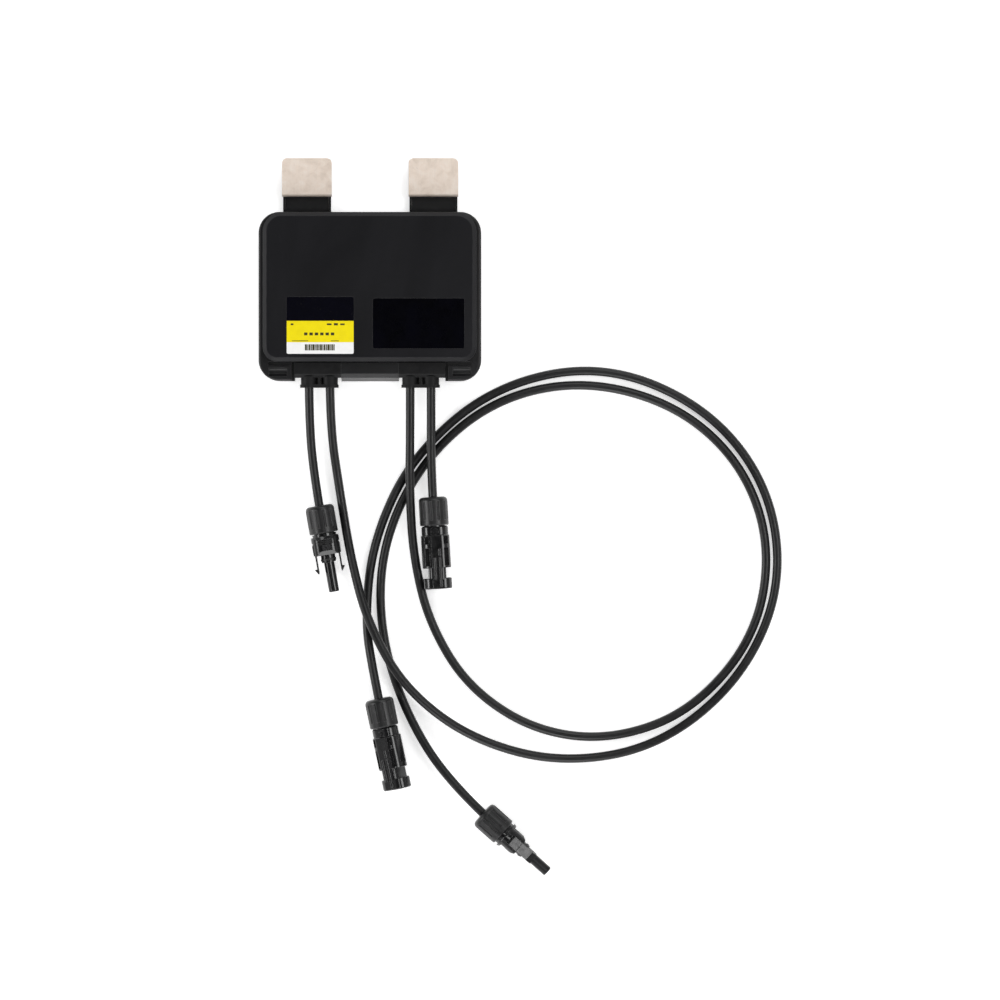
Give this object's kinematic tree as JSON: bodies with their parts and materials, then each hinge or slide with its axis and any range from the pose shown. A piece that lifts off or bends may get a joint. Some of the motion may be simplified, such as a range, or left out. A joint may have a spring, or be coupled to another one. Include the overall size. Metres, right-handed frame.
{
  "type": "photovoltaic micro inverter",
  "caption": "Flat black module-level power unit for solar panels with spring frame clips, round DC leads and latching plug and receptacle connectors.",
  "frame": {"origin": "centre of the rear housing's flat rear face, which lies on the table", "axes": "+Z from the rear face to the labelled front cover, +Y towards the frame clips, -Y the way the leads leave, +X to the right seen from the front"},
  "size_m": [0.3261, 0.4463, 0.0229],
  "materials": {
    "case_plastic": "fine matt texture, black",
    "cover_plastic": "fine matt texture, black",
    "nameplate_print": "printed polyester label: black, yellow and white bands, no lettering",
    "rating_print": "smooth black label, no lettering",
    "gland_rubber": "moulded elastomer, satin",
    "arm_coating": "black coated steel strip",
    "clip_steel": "bare spring steel, faintly warm, brushed",
    "rivet_steel": "plain steel",
    "board_laminate": "solder-masked laminate",
    "potting": "cured silicone",
    "ferrite": "sintered ferrite",
    "copper_wire": "copper",
    "capacitor_can": "aluminium can",
    "chip_black": "moulded epoxy",
    "spreader_metal": "milled aluminium",
    "terminal_brass": "tinned brass",
    "connector_plastic": "satin black moulding",
    "nut_plastic": "satin black moulding with flutes",
    "cage_plastic": "black moulding",
    "seal_rubber": "elastomer",
    "o_ring_rubber": "elastomer",
    "contact_metal": "tin-plated copper alloy",
    "cable_jacket": "cross-linked cable jacket, satin black"
  },
  "bodies": {
    "case": {"rear_housing": "case_plastic", "front_cover": "cover_plastic", "cover_gasket": "seal_rubber", "nameplate_label": "nameplate_print", "rating_label": "rating_print", "gland_block_left": "gland_rubber", "gland_block_right": "gland_rubber", "circuit_board": "board_laminate", "board_screws": "rivet_steel", "potting_compound": "potting", "inductor_core": "ferrite", "inductor_winding": "copper_wire", "filter_capacitors": "capacitor_can", "power_transistors": "chip_black", "heat_spreader": "spreader_metal", "bypass_diodes": "chip_black", "control_chips": "chip_black", "signal_transformer": "ferrite", "lead_terminals": "terminal_brass", "lead_conductors": "copper_wire", "short_plug_body": "connector_plastic", "short_plug_cable_seal": "seal_rubber", "short_plug_o_ring": "o_ring_rubber", "short_plug_socket_contact": "contact_metal", "short_plug_cable": "cable_jacket", "short_receptacle_body": "connector_plastic", "short_receptacle_cable_seal": "seal_rubber", "short_receptacle_pin_contact": "contact_metal", "short_receptacle_cable": "cable_jacket", "long_receptacle_body": "connector_plastic", "long_receptacle_cable_seal": "seal_rubber", "long_receptacle_pin_contact": "contact_metal", "long_receptacle_cable": "cable_jacket", "long_plug_body": "connector_plastic", "long_plug_cable_seal": "seal_rubber", "long_plug_o_ring": "o_ring_rubber", "long_plug_socket_contact": "contact_metal", "long_plug_cable": "cable_jacket"},
    "bracket_left": {"bracket_arm_left": "arm_coating", "frame_clip_left": "clip_steel", "clip_rivets_left": "rivet_steel"},
    "bracket_right": {"bracket_arm_right": "arm_coating", "frame_clip_right": "clip_steel", "clip_rivets_right": "rivet_steel"},
    "short_plug_nut": {"short_plug_cap_nut": "nut_plastic"},
    "short_plug_cage": {"short_plug_clamp_cage": "cage_plastic"},
    "short_plug_latch_a": {"short_plug_latch_a": "connector_plastic"},
    "short_plug_latch_b": {"short_plug_latch_b": "connector_plastic"},
    "short_receptacle_nut": {"short_receptacle_cap_nut": "nut_plastic"},
    "short_receptacle_cage": {"short_receptacle_clamp_cage": "cage_plastic"},
    "long_receptacle_nut": {"long_receptacle_cap_nut": "nut_plastic"},
    "long_receptacle_cage": {"long_receptacle_clamp_cage": "cage_plastic"},
    "long_plug_nut": {"long_plug_cap_nut": "nut_plastic"},
    "long_plug_cage": {"long_plug_clamp_cage": "cage_plastic"},
    "long_plug_latch_a": {"long_plug_latch_a": "connector_plastic"},
    "long_plug_latch_b": {"long_plug_latch_b": "connector_plastic"}
  },
  "joints": [
    {"name": "bracket_left_slide", "type": "slide", "parent": "case", "child": "bracket_left", "axis": [0, 1, 0], "range_m": [0, 0.028]},
    {"name": "bracket_right_slide", "type": "slide", "parent": "case", "child": "bracket_right", "axis": [0, 1, 0], "range_m": [0, 0.028]},
    {"name": "short_plug_nut_travel", "type": "slide", "parent": "case", "child": "short_plug_cage", "axis": [-0.174, 0.9848, 0], "range_m": [0, 0.003]},
    {"name": "short_plug_nut_turn", "type": "hinge", "parent": "short_plug_cage", "child": "short_plug_nut", "pos_m": [-0.0317, -0.1301, 0.0091], "axis": [-0.174, 0.9848, 0], "range_deg": [0, 722]},
    {"name": "short_plug_latch_a_flex", "type": "hinge", "parent": "case", "child": "short_plug_latch_a", "pos_m": [-0.02025, -0.15235, 0.0091], "axis": [0, 0, -1], "range_deg": [0, 6], "stiffness_Nm_per_rad": 0.08},
    {"name": "short_plug_latch_b_flex", "type": "hinge", "parent": "case", "child": "short_plug_latch_b", "pos_m": [-0.03483, -0.15492, 0.0091], "axis": [0, 0, 1], "range_deg": [0, 6], "stiffness_Nm_per_rad": 0.08},
    {"name": "short_receptacle_nut_travel", "type": "slide", "parent": "case", "child": "short_receptacle_cage", "axis": [-0.06, 0.9982, 0], "range_m": [0, 0.003]},
    {"name": "short_receptacle_nut_turn", "type": "hinge", "parent": "short_receptacle_cage", "child": "short_receptacle_nut", "pos_m": [0.039, -0.1247, 0.0094], "axis": [-0.06, 0.9982, 0], "range_deg": [0, 722]},
    {"name": "long_receptacle_nut_travel", "type": "slide", "parent": "case", "child": "long_receptacle_cage", "axis": [-0.2071, 0.9783, 0], "range_m": [0, 0.003]},
    {"name": "long_receptacle_nut_turn", "type": "hinge", "parent": "long_receptacle_cage", "child": "long_receptacle_nut", "pos_m": [0.0053, -0.2503, 0.0091], "axis": [-0.2071, 0.9783, 0], "range_deg": [0, 722]},
    {"name": "long_plug_nut_travel", "type": "slide", "parent": "case", "child": "long_plug_cage", "axis": [-0.746, 0.666, 0], "range_m": [0, 0.003]},
    {"name": "long_plug_nut_turn", "type": "hinge", "parent": "long_plug_cage", "child": "long_plug_nut", "pos_m": [0.07, -0.3217, 0.0104], "axis": [-0.746, 0.666, 0], "range_deg": [0, 722]},
    {"name": "long_plug_latch_a_flex", "type": "hinge", "parent": "case", "child": "long_plug_latch_a", "pos_m": [0.08783, -0.33762, 0.0178], "axis": [0.666, 0.746, 0], "range_deg": [0, 6], "stiffness_Nm_per_rad": 0.08},
    {"name": "long_plug_latch_b_flex", "type": "hinge", "parent": "case", "child": "long_plug_latch_b", "pos_m": [0.08783, -0.33762, 0.003], "axis": [-0.666, -0.746, 0], "range_deg": [0, 6], "stiffness_Nm_per_rad": 0.08}
  ],
  "couplings": [
    {"joint": "short_plug_nut_turn", "follows": "short_plug_nut_travel", "rad_per_m": 4188.8},
    {"joint": "short_receptacle_nut_turn", "follows": "short_receptacle_nut_travel", "rad_per_m": 4188.8},
    {"joint": "long_receptacle_nut_turn", "follows": "long_receptacle_nut_travel", "rad_per_m": 4188.8},
    {"joint": "long_plug_nut_turn", "follows": "long_plug_nut_travel", "rad_per_m": 4188.8}
  ]
}
